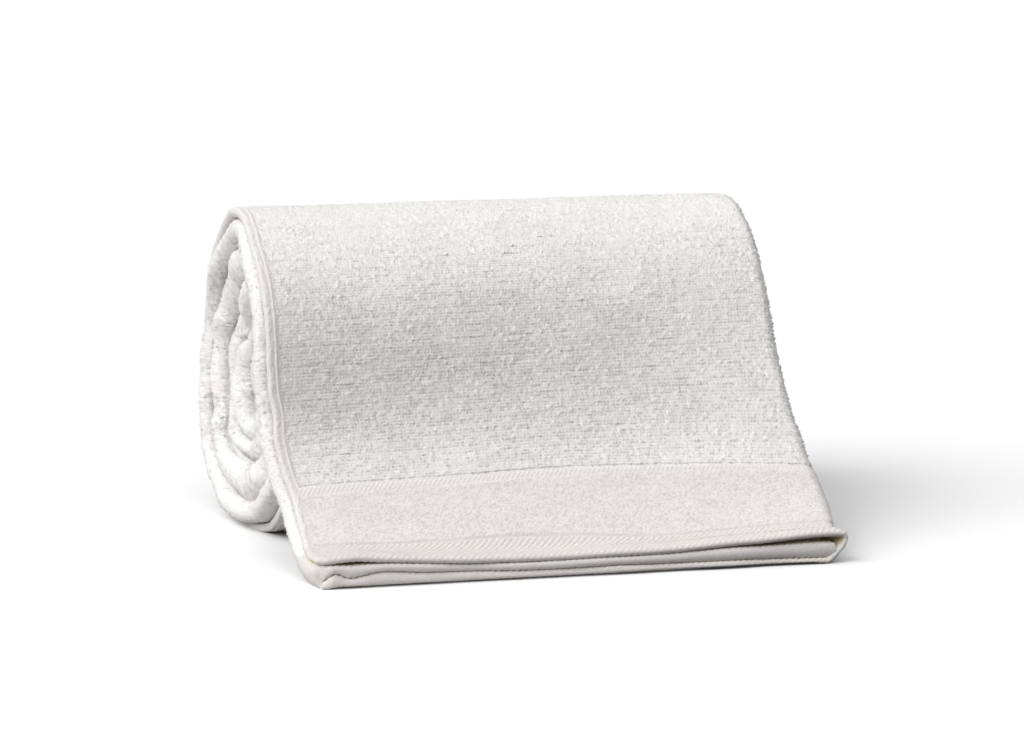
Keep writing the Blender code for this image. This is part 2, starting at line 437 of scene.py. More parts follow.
def fold_path(strip, across, out, face=1.0):
    """A point of the folded cloth: x, and its height above the strip's underside.

    `across` runs over 0 to 1 on the middle layer from its free edge, 1 to 2 round the left fold, 2 to
    3 along the bottom, 3 to 4 round the right fold and 4 to 5 along the top to its free edge. A fold
    is a half circle between the middles of its two layers. At the hem both are drawn in a little, and
    the right one's lower half lies under its upper one. `face` times half the cloth's thickness plus
    `out` is the distance from the middle of the thickness, to the outer side of the folds.
    """
    left, right = strip["left x"], strip["right x"]
    across = across * np.ones_like(left)
    u = np.where(across >= 5.0, 1.0, across % 1.0)

    def fold(x, outer_layer):
        pairs = layers_at(strip, x + 0.0 * across)
        (low, high), (low_outer, high_outer) = pairs[0], pairs[outer_layer]
        middle, middle_outer = 0.5 * (low + high), 0.5 * (low_outer + high_outer)
        return (
            0.5 * (middle + middle_outer),
            0.5 * (middle_outer - middle),
            0.5 * (high - low),
            0.5 * (high_outer - low_outer),
        )

    centre_left, radius_left, half_left, half_left_outer = fold(left + FOLD_IN, 1)
    centre_right, radius_right, half_right, half_right_outer = fold(right - FOLD_IN, 2)
    fold_left = left + radius_left + 0.5 * (half_left + half_left_outer)
    fold_right = right - radius_right - 0.5 * (half_right + half_right_outer)
    low_right = fold_right - HEM_UNDER * strip["hem"]
    middle_end, top_end = right - MIDDLE_IN, left + strip["top in"]
    where = [across < 1.0, across < 2.0, across < 3.0, across < 4.0]
    x_flat = np.select(
        where,
        [
            middle_end + (fold_left - middle_end) * u,
            fold_left,
            fold_left + (low_right - fold_left) * u,
            low_right + (fold_right - low_right) * soft_step(u),
        ],
        fold_right + (top_end - fold_right) * u,
    )
    (low0, high0), (low1, high1), (low2, high2) = layers_at(strip, x_flat)
    turn_left, turn_right = np.pi * (0.5 + u), np.pi * (u - 0.5)
    reach_left = radius_left + out + face * (half_left_outer + (half_left - half_left_outer) * u)
    reach_right = radius_right + out + face * (half_right + (half_right_outer - half_right) * u)

    def round_fold(turn, reach):
        drawn = strip["hem"] * (HEM_DRAWN + HEM_SLANT * (1.0 - np.sin(turn)))
        return x_flat + (reach - drawn) * np.cos(turn)

    x = np.select(
        where,
        [x_flat, round_fold(turn_left, reach_left), x_flat, round_fold(turn_right, reach_right)],
        x_flat,
    )
    height = np.select(
        where,
        [
            0.5 * (low1 + high1) + face * 0.5 * (high1 - low1) + out,
            centre_left + reach_left * np.sin(turn_left),
            0.5 * (low0 + high0) - face * 0.5 * (high0 - low0) - out,
            centre_right + reach_right * np.sin(turn_right),
        ],
        0.5 * (low2 + high2) + face * 0.5 * (high2 - low2) + out,
    )
    return x, height


# Length of each stretch of the folded cloth at the middle of its thickness, for even spacing across
STRETCHES = (226.0, 7.2, 228.0, 14.6, 230.0)
ACROSS_AT = np.concatenate([[0.0], np.cumsum(STRETCHES)])
LEFT_FOLD, BOTTOM, RIGHT_FOLD, TOP, TOP_EDGE = ACROSS_AT[1:]

# Where the pile and the bands of the top layer begin, on the right fold, and where they end
TOP_COVER = (RIGHT_FOLD - 5.0, TOP_EDGE - SELVEDGE + SELVEDGE_OVER)


def across_of(distance):
    """Turns a distance across the flat cloth, from the middle layer's free edge, into stretches."""
    return np.interp(distance, ACROSS_AT, np.arange(len(ACROSS_AT), dtype=float))


def uneven_ends(strip, x, y, z):
    """Moves points near both ends of the roll, as hand-rolled turns are never even.

    All layers at one place of the YZ plane move alike by smooth noise, less towards the outermost
    turn, and the folds go in and out of the end by noise along the strip.
    """
    radius = np.hypot(y - CORE_Y, z - CORE_Z)
    inside = 1.0 - ramp(radius, *EVEN_FROM)
    everywhere, more_inside = END_SWELL
    dx = np.zeros_like(x)
    for side, seed in ((-1.0, 11), (1.0, 31)):
        edge = strip["left x"] if side < 0 else strip["right x"]
        near = np.exp(-(((x - edge) / END_REACH) ** 2))
        swell = cloth_noise(strip["length"] / 27.0, 0.0, seed)
        swell = swell + 0.5 * cloth_noise(strip["length"] / 11.0, 0.0, seed + 1)
        dx = dx + side * near * (swell * (everywhere + more_inside * inside) - everywhere)
        y = y + near * inside * LUMP_MOVES * cloth_noise(y / LUMP, z / LUMP, seed + 2)
        z = z + near * inside * LUMP_MOVES * cloth_noise(y / LUMP + 9.0, z / LUMP, seed + 3)
    return x + dx, y, z


def on_strip(strip, x, height):
    """Point at x and at a height above the underside, between the strip's left and right lines."""
    share = ((x - strip["left x"]) / (strip["right x"] - strip["left x"]))[:, :, None]
    line = strip["left"] * (1.0 - share) + strip["right"] * share
    normal = strip["left normal"] * (1.0 - share) + strip["right normal"] * share
    normal = normal / np.linalg.norm(normal, axis=2, keepdims=True)
    flat = line + normal * (height * strip["press"])[:, :, None]
    x, y, z = uneven_ends(strip, x, flat[:, :, 0], flat[:, :, 1])
    z = np.maximum(z, 0.0)
    return np.stack([x - BOX_MIDDLE[0], y - BOX_MIDDLE[1], z], axis=2)


def even_stations(start, stop, height, spacing):
    """Lengths along the strip whose points at that height above its underside are evenly spaced."""
    fine = np.arange(start, stop, TABLE_STEP)
    strip = strip_at(fine)
    line = strip["left"][:, 0] + strip["left normal"][:, 0] * height
    way = np.concatenate([[0.0], np.cumsum(np.linalg.norm(np.diff(line, axis=0), axis=1))])
    count = 2 * max(1, round(0.5 * way[-1] / spacing))
    return np.interp(np.linspace(0.0, way[-1], count + 1), way, fine)


def length_at_turn(turn):
    """Length along the strip where it has made that many turns, counted from the last pass over the top."""
    return float(np.interp(turn, STRIP["turn"], STRIP["length"]))


def write_mesh(name, points, material, loft, cloth=None, bands=1, ring=False):
    """Puts a grid of points into a mesh object, with its own maps.

    Faces run across first and along second. `loft` is kept on the points: mostly the height of the
    loops from 0 to 1, which the finishes turn into painted shade where it is low. `cloth` holds
    distances across and along the cloth in millimetres for the map of that name. The baking map lays
    the sheet out in bands side by side. A ring is closed across, and shut at both ends by faces
    between its first half and its second.
    """
    rows, columns = points.shape[:2]
    strips = columns if ring else columns - 1
    row, column = np.meshgrid(np.arange(rows - 1), np.arange(strips), indexing="ij")
    corner_row = np.stack([row, row, row + 1, row + 1], axis=2).reshape(-1)
    corner_column = np.stack([column, column + 1, column + 1, column], axis=2).reshape(-1)
    corners = corner_row * columns + corner_column % columns
    in_band = -(-(rows - 1) // bands)
    band = np.repeat(row.reshape(-1) // in_band, 4)
    u = (band + MAP_EDGE + (1.0 - 2.0 * MAP_EDGE) * corner_column / strips) / bands
    v = MAP_FOOT + (1.0 - 2.0 * MAP_FOOT) * (corner_row - band * in_band) / in_band
    if ring:
        i = np.arange(columns // 2 - 1)
        shut = np.stack([i, i + 1, columns - 2 - i, columns - 1 - i], axis=1)
        first, last = shut[:, ::-1], shut + (rows - 1) * columns
        corners = np.concatenate([corners, first.reshape(-1), last.reshape(-1)])
        place = np.stack([i, i + 1, i + 1, i], axis=1) / (columns // 2) * (0.5 - 2.0 * MAP_EDGE)
        rise = np.tile(np.repeat(MAP_ENDS, 2), (len(i), 1))
        u = np.concatenate([u, MAP_EDGE + place[:, ::-1].reshape(-1), 0.5 + MAP_EDGE + place.reshape(-1)])
        v = np.concatenate([v, rise[:, ::-1].reshape(-1), rise.reshape(-1)])
    faces = len(corners) // 4
    mesh = bpy.data.meshes.new(name)
    mesh.vertices.add(rows * columns)
    mesh.vertices.foreach_set("co", (points * MM).astype(np.float32).reshape(-1))
    mesh.loops.add(4 * faces)
    mesh.loops.foreach_set("vertex_index", corners.astype(np.int32))
    mesh.polygons.add(faces)
    mesh.polygons.foreach_set("loop_start", 4 * np.arange(faces, dtype=np.int32))
    mesh.polygons.foreach_set("loop_total", np.full(faces, 4, dtype=np.int32))
    mesh.update(calc_edges=True)
    mesh.polygons.foreach_set("use_smooth", np.ones(faces, dtype=bool))
    kept = mesh.attributes.new("loft", "FLOAT", "POINT")
    kept.data.foreach_set("value", loft.astype(np.float32).reshape(-1))
    if cloth is not None:
        weave = mesh.uv_layers.new(name="cloth")
        across, along = (np.broadcast_to(part, (rows, columns)).reshape(-1) for part in cloth)
        where = corner_row * columns + np.minimum(corner_column, columns - 1)
        pairs = np.stack([across[where], along[where]], axis=1) * MM
        weave.data.foreach_set("uv", pairs.astype(np.float32).reshape(-1))
    baking = mesh.uv_layers.new(name="OFBake")
    baking.data.foreach_set("uv", np.stack([u, v], axis=1).astype(np.float32).reshape(-1))
    mesh.materials.append(material)
    piece = bpy.data.objects.new(name, mesh)
    bpy.context.scene.collection.objects.link(piece)
    return piece


def keep_piece(piece):
    """The piece belongs to the towel's one body."""
    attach(piece, "root")
    return piece


# Materials


def set_inputs(tree, node, inputs):
    """Gives a node its inputs by name or place: each is a value or another node's output."""
    for name, value in inputs.items():
        if isinstance(value, bpy.types.NodeSocket):
            tree.links.new(value, node.inputs[name])
        else:
            node.inputs[name].default_value = value


def add_node(tree, kind, inputs=None, **settings):
    """Outputs of a new node with those settings and inputs."""
    node = tree.nodes.new(kind)
    for name, value in settings.items():
        setattr(node, name, value)
    set_inputs(tree, node, inputs or {})
    return node.outputs


def cotton_tone_group():
    """Colour and fine relief of cotton: tips stay light, the depths take a warm painted shade, and both drift
    a little.

    The loops' height mixes from the painted shade to the tip. Fine noise for the yarn, which is also
    its bump, paints shade in its valleys and light on its rises, and wide noise for the drift makes
    the mix lighter and darker at random.
    """
    group = bpy.data.node_groups.new("cotton_tone", "ShaderNodeTree")
    face = group.interface
    for name, value in (("Loft", 1.0), ("Yarn Scale", 2600.0), ("Drift", 0.03), ("Grain And Shade", 0.2)):
        face.new_socket(name, in_out="INPUT", socket_type="NodeSocketFloat").default_value = value
    for name, value in (("Tip", (0.86, 0.845, 0.825, 1.0)), ("Depth", (0.60, 0.56, 0.49, 1.0))):
        face.new_socket(name, in_out="INPUT", socket_type="NodeSocketColor").default_value = value
    face.new_socket("Color", in_out="OUTPUT", socket_type="NodeSocketColor")
    face.new_socket("Height", in_out="OUTPUT", socket_type="NodeSocketFloat")
    given = add_node(group, "NodeGroupInput")
    place = add_node(group, "ShaderNodeTexCoord")["Object"]
    fine = {"Vector": place, "Scale": given["Yarn Scale"], "Detail": 3.0}
    yarn = add_node(group, "ShaderNodeTexNoise", fine)["Fac"]
    wide = {"Vector": place, "Scale": 38.0, "Detail": 3.0}
    patch = add_node(group, "ShaderNodeTexNoise", wide)["Fac"]
    heights = {"Value": given["Loft"], "From Min": -0.15, "From Max": 0.75}
    rounded = add_node(group, "ShaderNodeMapRange", heights, interpolation_type="SMOOTHSTEP")
    colours = {"Factor": rounded["Result"], "A": given["Depth"], "B": given["Tip"]}
    tone = add_node(group, "ShaderNodeMix", colours, data_type="RGBA")

    def math(operation, *values):
        return add_node(group, "ShaderNodeMath", dict(enumerate(values)), operation=operation)["Value"]

    # Painted shade in the yarn's valleys and painted light on its rises, where the bump lies low and high.
    yarn_shade = math("MULTIPLY_ADD", math("SUBTRACT", yarn, 0.5), given["Grain And Shade"], 1.0)
    amount = math("MULTIPLY_ADD", math("SUBTRACT", patch, 0.5), given["Drift"], yarn_shade)
    shade = add_node(group, "ShaderNodeVectorMath", {0: tone["Result"], "Scale": amount}, operation="SCALE")
    set_inputs(group, group.nodes.new("NodeGroupOutput"), {"Color": shade["Vector"], "Height": yarn})
    return group


def cotton(tone_group, name, tip, painted_shade, bump, yarn_scale, grain_and_shade):
    """One finish of the cloth: the shared tone, rough and without shine, with a fine bump of yarn."""
    material = bpy.data.materials.new(name)
    material.use_nodes = True
    tree = material.node_tree
    given = {
        "Loft": add_node(tree, "ShaderNodeAttribute", attribute_name="loft")["Fac"],
        "Tip": (*tip, 1.0),
        "Depth": (*painted_shade, 1.0),
        "Yarn Scale": yarn_scale,
        "Grain And Shade": grain_and_shade,
    }
    tone = add_node(tree, "ShaderNodeGroup", given, node_tree=tone_group)
    yarn = {"Height": tone["Height"], "Strength": bump, "Distance": 0.0006}
    relief = add_node(tree, "ShaderNodeBump", yarn)
    look = {
        "Base Color": tone["Color"],
        "Normal": relief["Normal"],
        "Roughness": 0.95,
        "Specular IOR Level": 0.25,
        "Sheen Weight": 0.12,
        "Sheen Roughness": 0.6,
    }
    set_inputs(tree, tree.nodes["Principled BSDF"], look)
    return material


# Pieces


def ground_cloth(material):
    """The woven cloth itself, from end to end: a closed ring of the folded section, carried along.

    The ring follows the outer side of the cloth across its whole width and comes back on the inner
    side. Its thickness goes round to nothing at both free edges and at both ends of the strip.
    """
    edge = np.array([0.0, 0.3, 0.9, 2.0])
    across = np.concatenate(
        [
            edge,
            np.linspace(15.0, LEFT_FOLD - 2.0, 14),
            np.linspace(LEFT_FOLD, BOTTOM, 7),
            np.linspace(BOTTOM + 2.0, RIGHT_FOLD - 2.0, 14),
            np.linspace(RIGHT_FOLD, TOP, 9),
            np.linspace(TOP + 2.0, TOP_EDGE - 15.0, 14),
            [TOP_EDGE - 6.0],
            TOP_EDGE - edge[::-1],
        ]
    )
    leaves = length_at_turn(0.1)
    ends_at = FULL_LENGTH - 5.5
    near_hem = FULL_LENGTH - HEM_BAND
    tip = np.array([2.0, 1.5, 1.0, 0.5, 0.2, 0.0])
    along = np.concatenate(
        [
            tip[::-1],
            np.linspace(4.0, leaves, 226),
            np.linspace(leaves + 2.0, near_hem, 90),
            np.linspace(near_hem + 1.0, ends_at - 2.5, 14),
            ends_at - tip,
        ]
    )
    strip = strip_at(along)
    to_edge = np.minimum(across, TOP_EDGE - across)[None, :]
    to_end = np.minimum(strip["length"], ends_at - strip["length"])
    thin = np.clip(np.minimum(to_edge, to_end), 0.0, 1.0)
    face = np.sqrt(thin * (2.0 - thin))
    sunk = GROUND_IN * face
    outer = on_strip(strip, *fold_path(strip, across_of(across), -sunk, face))
    inner = on_strip(strip, *fold_path(strip, across_of(across), 0.5 * sunk, -face))
    ring = np.concatenate([outer, inner[:, ::-1]], axis=1)
    # Near the hem the ground takes the ochre painted shade of the gaps between the layers: fully on its inner
    # side, a little on its outer side.
    painted_shade = ramp(strip["to hem"], 60.0, 90.0) * np.ones_like(thin)
    loft = np.concatenate([np.maximum(painted_shade, 0.6), painted_shade], axis=1)
    return write_mesh("towel_cloth", ring, material, loft, bands=5, ring=True)


def loops_on(along, across, seed, tall, edge_fade, stray):
    """Pile as a field of loops, matted into short runs.

    Every second row holds the tops, and every second point of it is a top. The point between two
    tops is nearly as high where chance joins them, and low where it doesn't. The rows between are
    valleys, which fill where the pile is matted. Each row starts at its own offset across, and the
    tops lean together in patches and each one a little by itself, `stray` times as far as usual.
    """
    rows, columns = len(along), len(across)
    chance = np.random.default_rng(seed)
    s, w = along[:, None], across[None, :]
    top_row = (np.arange(rows) % 2)[:, None].astype(bool)
    top_column = (np.arange(columns) % 2)[None, :].astype(bool)
    matted = soft_step(0.5 + 0.8 * cloth_noise(s / 11.0, w / 16.0, seed + 1))
    own = chance.uniform(-1.0, 1.0, (rows, columns))

    def either(chances, lofts):
        drawn = chance.uniform(0.0, 1.0, (rows, columns))
        return np.where(drawn < chances[0] + chances[1] * matted, *lofts)

    tops = 1.0 + VARIES[0] * own
    between = either(JOINED, JOINED_LOFT) + VARIES[1] * own
    valleys = np.where(top_column, either(FILLED, FILLED_LOFT), 0.0) + VARIES[2] * own
    # The loft sets the loops' height and also their colour: the valleys and the low points between tops take
    # painted shade.
    loft = np.where(top_row, np.where(top_column, tops, between), valleys)
    offset = chance.uniform(-0.5, 0.5, rows // 2 + 2) * LOOP_COLUMN
    row_offset = np.interp(np.arange(rows), 2.0 * np.arange(rows // 2 + 2), offset)[:, None]
    wander = 0.5 * LOOP_COLUMN * cloth_noise(s / 2.2, w / 7.5, seed + 3)
    patch = cloth_noise(s / 17.0, w / 21.0, seed + 4) + 0.4 * cloth_noise(s / 6.0, w / 8.0, seed + 5)

    def lean(alone, patch_seed):
        together = LEAN_TOGETHER * cloth_noise(s / 6.0, w / 8.0, patch_seed)
        return together + alone * stray * chance.uniform(-1.0, 1.0, loft.shape)

    lean_along = lean(LEAN_ALONE[0], seed + 6)
    lean_across = lean(LEAN_ALONE[1], seed + 7)
    height = tall * (1.0 + 0.07 * patch) * loft + 0.09 * patch
    height = height * edge_fade - 0.3 * (1.0 - edge_fade)
    return loft, height, lean_along * loft, lean_across * loft + (row_offset + wander) * edge_fade


def pile_sheet(
    names, along, across, seed, material, fade_across, fade_along, bands=1, stray=1.0, to_band=False
):
    """One field of loops on the outer side of the cloth, cut into the named pieces end to end.

    It goes down by smooth steps at its sides and ends. Where it ends at the first band, its rows bend
    until the last one runs along it, and the last loops lean over its groove. Loops that stray stand
    less high. The tone is the loops' own height, which the finish turns into painted shade where it
    is low, with painted light away from a middle of painted shade on the loose end by a bell curve
    over both directions, more of it where the loops stray, and a tone that differs at random.
    """
    to_side = np.minimum(across - across[0], across[-1] - across)
    fade = soft_step(to_side / fade_across)[None, :] * np.ones((len(along), 1))
    to_stop = along[-1] - along
    fade = fade * soft_step((along - along[0]) / fade_along[0])[:, None]
    fade = fade * soft_step(to_stop / fade_along[1])[:, None]
    loft, height, lean_along, lean_across = loops_on(along, across, seed, LOOP_HEIGHT / stray, fade, stray)
    length = along[:, None] + 0.0 * across[None, :]
    if to_band:
        _, loops_end, _ = bands_near(along[-1], across[None, :])
        length = length + (PILE_ENDS - loops_end) * soft_step(1.0 - to_stop / BEND_REACH)[:, None]
        lean_along = lean_along + OVERHANG * loft * soft_step(1.0 - to_stop / OVERHANG_FROM)[:, None]
    strip = strip_at(length)
    x, up = fold_path(strip, across_of(across[None, :] + lean_across), height - LOOP_DEPTH)
    points = on_strip(strip, x, up)
    direction = np.gradient(points, axis=0)
    direction /= np.linalg.norm(direction, axis=2, keepdims=True)
    points = points + direction * lean_along[:, :, None]
    points[:, :, 2] = np.maximum(points[:, :, 2], 0.0)
    # Painted shade in the middle of the loose end: how far each point lies from it
    painted_shade_across = TOP + PAINTED_SHADE_AT[0] * (TOP_EDGE - TOP)
    from_middle = ((across - painted_shade_across) / PAINTED_SHADE_REACH[0])[None, :] ** 2
    from_middle = from_middle + ((FULL_LENGTH - length - PAINTED_SHADE_AT[1]) / PAINTED_SHADE_REACH[1]) ** 2
    own = np.random.default_rng(seed + 9).uniform(-1.0, 1.0, loft.shape)
    # Painted light away from that middle, stronger on the folds at the roll's ends, and a tone that differs
    # at random
    tone = loft + PAINTED_LIGHT_AWAY * stray**2 * (1.0 - np.exp(-from_middle)) + TONE_VARIES * own
    cuts = np.round(np.linspace(0, len(along) - 1, len(names) + 1)).astype(int)
    pieces = []
    for name, first, last in zip(names, cuts[:-1], cuts[1:]):
        rows = slice(first, last + 1)
        cloth = (across[None, :], length[rows])
        pieces.append(write_mesh(name, points[rows], material, tone[rows], cloth, bands))
    return pieces


def loop_columns(first, last):
    """Distances across the cloth of the points of a field of loops: a top and a point between, in turn."""
    return np.linspace(first, last, 2 * round((last - first) / LOOP_COLUMN) + 1)


def outer_pile(material):
    """Pile on the top layer of the outermost turn and of the loose end, and over its right fold."""
    stop = FULL_LENGTH - PILE_ENDS + 0.4
    along = even_stations(length_at_turn(OUTER_TURN), stop, 12.0, 0.5 * LOOP_ROW)
    names = ["pile_back", "pile_over", "pile_top", "pile_front"]
    across = loop_columns(*TOP_COVER)
    return pile_sheet(names, along, across, 3, material, fade_across=1.2, fade_along=(2.0, 0.7), to_band=True)


def fold_pile(material):
    """Pile round both folds of every turn, which makes the lobes that show at the roll's ends."""
    parts = (
        # name, from and to across the cloth, where it stops along the strip, seed
        ("pile_left_fold", LEFT_FOLD - 9.0, BOTTOM + 7.0, FULL_LENGTH - HEM_SEAM, 5),
        ("pile_right_fold", RIGHT_FOLD - 6.0, TOP + 6.0, length_at_turn(OUTER_TURN), 7),
    )
    pieces = []
    for name, first, last, stop, seed in parts:
        along = even_stations(9.0, stop, 6.0, 0.5 * LOOP_ROW)
        fades = {"fade_across": 2.5, "fade_along": (6.0, 3.0)}
        across = loop_columns(first, last)
        pieces += pile_sheet([name], along, across, seed, material, bands=6, stray=STRAY, **fades)
    return pieces


def bands_near(length, across):
    """At that length and those distances across: x, the end of the loops and the hem's seam.

    Both lines are distances from the hem's edge, by a natural spline over x through the table.
    """
    x, _ = fold_path(strip_at(np.array([length])), across_of(across), 0.0)
    bands = np.array(BANDS)
    lines = natural_spline(bands[:, 0], bands[:, 1:3], np.clip(x, bands[0, 0], bands[-1, 0]).reshape(-1))
    return x, lines[:, 0].reshape(x.shape), lines[:, 1].reshape(x.shape)


def seam_depth(x):
    """How deep the hem's seam is drawn in at x: it fades out towards the left fold."""
    return 0.25 + 0.75 * ramp(x, -105.0, -75.0)


def border(material):
    """Woven bands on the top layer and over its right fold, from the end of the loops to the hem's seam.

    A groove runs under the last loops. The first band has slanting ribs, and the wide one after it is
    a low, soft velour with lumps and fine grain. Each rises and falls by smooth steps at its edges,
    and the sheet dips at the hem's seam.
    """
    over, under = 2.5, 0.8
    share = np.linspace(0.0, 1.0, round((PILE_ENDS - HEM_SEAM + over + under) / WEAVE_STEP) + 1)[:, None]
    first, last = TOP_COVER
    across = np.linspace(first, last, round((last - first) / WEAVE_STEP) + 1)[None, :]
    _, loops_end, seam = bands_near(FULL_LENGTH - PILE_ENDS, across)
    to_hem = loops_end + over + (seam - under - loops_end - over) * share
    strip = strip_at(FULL_LENGTH - to_hem)
    x, _ = fold_path(strip, across_of(across), 0.0)
    ribs = np.sin(2.0 * np.pi * (x - RIB_SLANT * to_hem) / RIB_TWILL)
    twill_ends = loops_end - np.interp(x, (-120.0, 120.0), TWILL)
    in_twill = soft_step(loops_end - 1.1 - to_hem) * soft_step((to_hem - twill_ends) / 1.6)
    in_velour = soft_step((twill_ends - to_hem + 1.2) / 1.6) * soft_step((to_hem - seam) / 1.1)
    nap = np.random.default_rng(53).uniform(-1.0, 1.0, to_hem.shape)
    wale = 0.75 * nap + 0.25 * cloth_noise(to_hem / 1.3, across / 2.1, 54)
    lumps = cloth_noise(to_hem / 9.0, across / 19.0, 56)
    lumps = lumps + 0.15 * cloth_noise(to_hem / 3.5, across / 5.0, 55)
    twill = TWILL_RELIEF[0] + TWILL_RELIEF[1] * ribs
    velour = VELOUR_RELIEF[0] + VELOUR_RELIEF[1] * lumps + VELOUR_RELIEF[2] * wale
    out = -BORDER_SUNK * seam_depth(x) + in_twill * twill + in_velour * velour
    out = np.where(to_hem > loops_end - GROOVE[0], -GROOVE[1], out)
    # Painted shade: full in the groove under the last loops, less on the bands, more on the low parts of
    # their ribs and nap.
    loft = 0.36 * soft_step((loops_end - GROOVE[0] - to_hem) / 0.9)
    loft = loft + in_twill * (0.34 + 0.14 * ribs) + in_velour * (0.10 + 0.52 * wale)
    x, up = fold_path(strip, across_of(across), out)
    cloth = (across, FULL_LENGTH - to_hem)
    return write_mesh("border_bands", on_strip(strip, x, up), material, loft, cloth)


def hem_part(name, first, last, outside, step, material):
    """Part of the hem across the cloth: from its seam, round the front edge and a little back inside.

    Along, the sheet goes by a path round the edge: out along the outer side, a half circle about the
    middle of the thickness, and back along the inner side. The edge wanders by smooth noise, and is
    rounded back at the left corner by a smooth step. Along the bottom layer its lower side stands off
    the surface. The thickness goes round to nothing at the cloth's two free edges. Where the sheet
    has gone back inside, its loft falls to that of the gaps, which paints the shade of the gaps on it.
    """
    run = outside - EDGE_ROUND
    turn = np.pi * HEM_HALF
    path = np.arange(0.0, run + turn + HEM_INSIDE, HEM_STEP)[:, None]
    outer_side = path < run
    angle = np.clip((path - run) / HEM_HALF, 0.0, np.pi)
    past = np.maximum(path - run - turn, 0.0)
    to_hem = np.where(outer_side, outside - path, EDGE_ROUND * (1.0 - np.sin(angle)) + past)
    across = np.linspace(first, last, round((last - first) / step) + 1)[None, :]
    edge = np.clip(np.minimum(across, TOP_EDGE - across) / HEM_HALF, 0.0, 1.0)
    shut = np.sqrt(edge * (2.0 - edge))
    x, _, seam = bands_near(FULL_LENGTH - HEM_SEAM, across)
    to_hem = to_hem + (seam - HEM_SEAM) * ramp(to_hem, 8.0, HEM_SEAM) * outer_side
    uneven = 0.5 * cloth_noise(across / 23.0, 0.0, 57) + 0.5
    left_fold = strip_at(np.array([FULL_LENGTH]))["left x"]
    corner = HEM_CORNER[0] * soft_step(1.0 - (x - left_fold) / HEM_CORNER[1])
    to_hem = to_hem + (uneven + corner) * soft_step(1.0 - to_hem / 9.0)
    strip = strip_at(FULL_LENGTH - to_hem)
    ribs = np.sin(2.0 * np.pi * (across - RIB_SLANT * (path - run)) / RIB_HEM)
    grain_and_shade = cloth_noise(path / 1.1, across / 1.3, 58)
    sink = soft_step((to_hem - seam + 1.3) / 1.3) * outer_side * SEAM_SUNK * seam_depth(x)
    swell = HEM_SWELLS * cloth_noise(path / 7.0, across / 15.0, 59)
    relief = HEM_RELIEF[0] * ribs + HEM_RELIEF[1] * grain_and_shade + swell * outer_side
    face = np.cos(angle) + 0.0 * across
    along_bottom = soft_step((across - BOTTOM) / 8.0) * soft_step((RIGHT_FOLD - across) / 8.0)
    lifted = HEM_LIFT * along_bottom * soft_step(1.0 - to_hem / 6.0) * np.maximum(face, 0.0)
    out = np.sign(face) * np.minimum(np.abs(face) + 0.3, 1.0) * relief - sink - lifted
    x, up = fold_path(strip, across_of(across), out * shut, face * shut)
    # Painted shade of the gaps: where the sheet has gone back inside, and on the middle part's outer side
    # away from its edge; the hollows of the ribs take a little.
    hidden = np.where(across < LEFT_FOLD - 3.0, np.maximum(to_hem - EDGE_ROUND - 1.0, 0.0), 0.0)
    behind = np.where(outer_side, hidden, path - run - 0.72 * turn)
    loft = (0.72 + 0.22 * ribs + 0.12 * grain_and_shade) * (1.0 - soft_step(behind / 3.0))
    return write_mesh(name, on_strip(strip, x, up), material, loft, (across, path + 0.0 * across))


def hem(material):
    """The hem across the whole width: fine on the top layer and the left fold, less deep between."""
    parts = (
        # name, from and to across, how far the outer side reaches back, spacing across
        ("hem_middle", 0.0, LEFT_FOLD - 14.0, HEM_INSIDE, 0.8),
        ("hem_left_fold", LEFT_FOLD - 14.0, BOTTOM + 8.0, HEM_SEAM, 0.5),
        ("hem_bottom", BOTTOM + 8.0, RIGHT_FOLD - 3.0, HEM_INSIDE, 0.65),
        ("hem_top", RIGHT_FOLD - 3.0, TOP_EDGE, HEM_SEAM, 0.45),
    )
    return [hem_part(*part, material) for part in parts]


def selvedge(material):
    """The double hem along the top layer's free edge: a wide ridge, a groove, a narrow bright ridge.

    Across, the sheet starts on the inner side, rounds the free edge and goes in over both ridges to
    where the loops begin. Both ridges are bell curves with a slanting hatch on them.
    """
    stop = FULL_LENGTH - HEM_SEAM + 2.0
    along = even_stations(length_at_turn(OUTER_TURN), stop, 12.0, 0.7)
    turn = np.pi * SELVEDGE_HALF
    path = np.arange(0.0, SELVEDGE_INSIDE + turn + SELVEDGE + 0.4, 0.33)
    angle = np.clip((path - SELVEDGE_INSIDE) / SELVEDGE_HALF, 0.0, np.pi)
    flat = np.maximum(path - SELVEDGE_INSIDE - turn, 0.0)[None, :]
    inner_side = SELVEDGE_HALF + SELVEDGE_INSIDE - path
    inward = np.where(path < SELVEDGE_INSIDE, inner_side, SELVEDGE_HALF * (1.0 - np.sin(angle)) + flat[0])
    side = -np.cos(angle)[None, :]
    hatch = np.sin(2.0 * np.pi * (along[:, None] + 1.3 * flat) / 1.6)
    grain_and_shade = cloth_noise(along[:, None] / 1.4, path[None, :] / 0.8, 61)
    wide = np.exp(-(((flat - WIDE_RIDGE[0]) / WIDE_RIDGE[1]) ** 4))
    narrow = np.exp(-(((flat - NARROW_RIDGE[0]) / NARROW_RIDGE[1]) ** 2))
    ridge = np.maximum(wide, narrow)
    outer = (path > SELVEDGE_INSIDE + 0.5 * turn)[None, :]
    relief = outer * (WIDE_RIDGE[2] * wide + NARROW_RIDGE[2] * narrow - RIDGE_FOOT)
    relief = relief + 0.20 * (hatch + grain_and_shade) * ridge
    strip = strip_at(along)
    face = side * np.where(side < 0.0, 1.0, 0.92)
    x, up = fold_path(strip, across_of(TOP_EDGE - inward)[None, :], relief, face)
    # Painted shade in the groove between the ridges and past the narrow one, lighter on the ridges.
    loft = 0.34 + 0.20 * (hatch + grain_and_shade) * wide + 0.30 * ridge
    cloth = (inward[None, :], along[:, None])
    return write_mesh("selvedge_hem", on_strip(strip, x, up), material, loft, cloth, bands=5)


